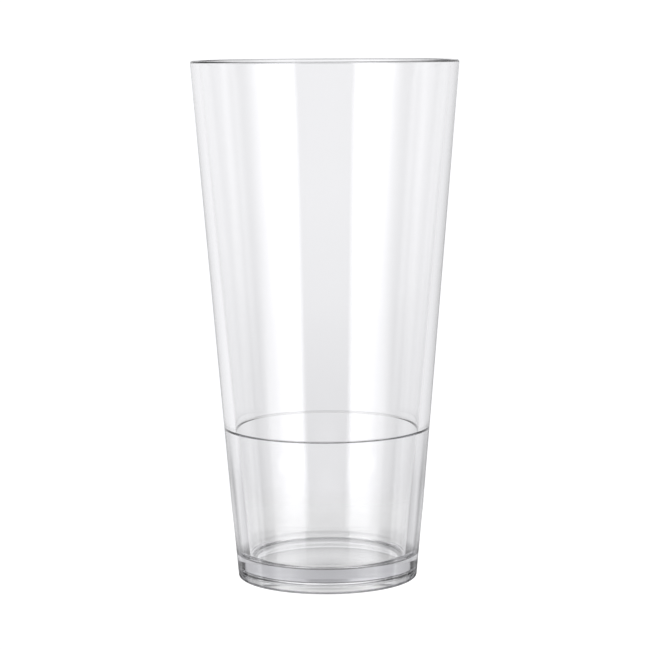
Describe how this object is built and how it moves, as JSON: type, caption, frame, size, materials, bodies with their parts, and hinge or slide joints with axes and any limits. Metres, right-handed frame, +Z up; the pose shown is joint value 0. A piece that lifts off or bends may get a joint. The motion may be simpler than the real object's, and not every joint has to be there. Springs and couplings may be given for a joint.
{
  "type": "plastic party cup",
  "caption": "Tall conical tumbler in clear plastic with a rounded drinking lip, a small sloping stacking ledge inside, a thick base and a recessed foot; holds a cold drink and stacks in its own kind.",
  "frame": {"origin": "middle of the ring the cup stands on, at table height", "axes": "+Z up along the cup's axis, towards the lip; the cup is round, so X and Y are free"},
  "size_m": [0.0846, 0.0846, 0.165],
  "materials": {
    "clear_plastic": "clear, moulded gloss"
  },
  "bodies": {
    "root": {"drinking_lip": "clear_plastic", "upper_wall": "clear_plastic", "stacking_ledge": "clear_plastic", "lower_wall": "clear_plastic", "base_corner": "clear_plastic", "thick_base": "clear_plastic", "foot_ring": "clear_plastic"}
  },
  "joints": []
}
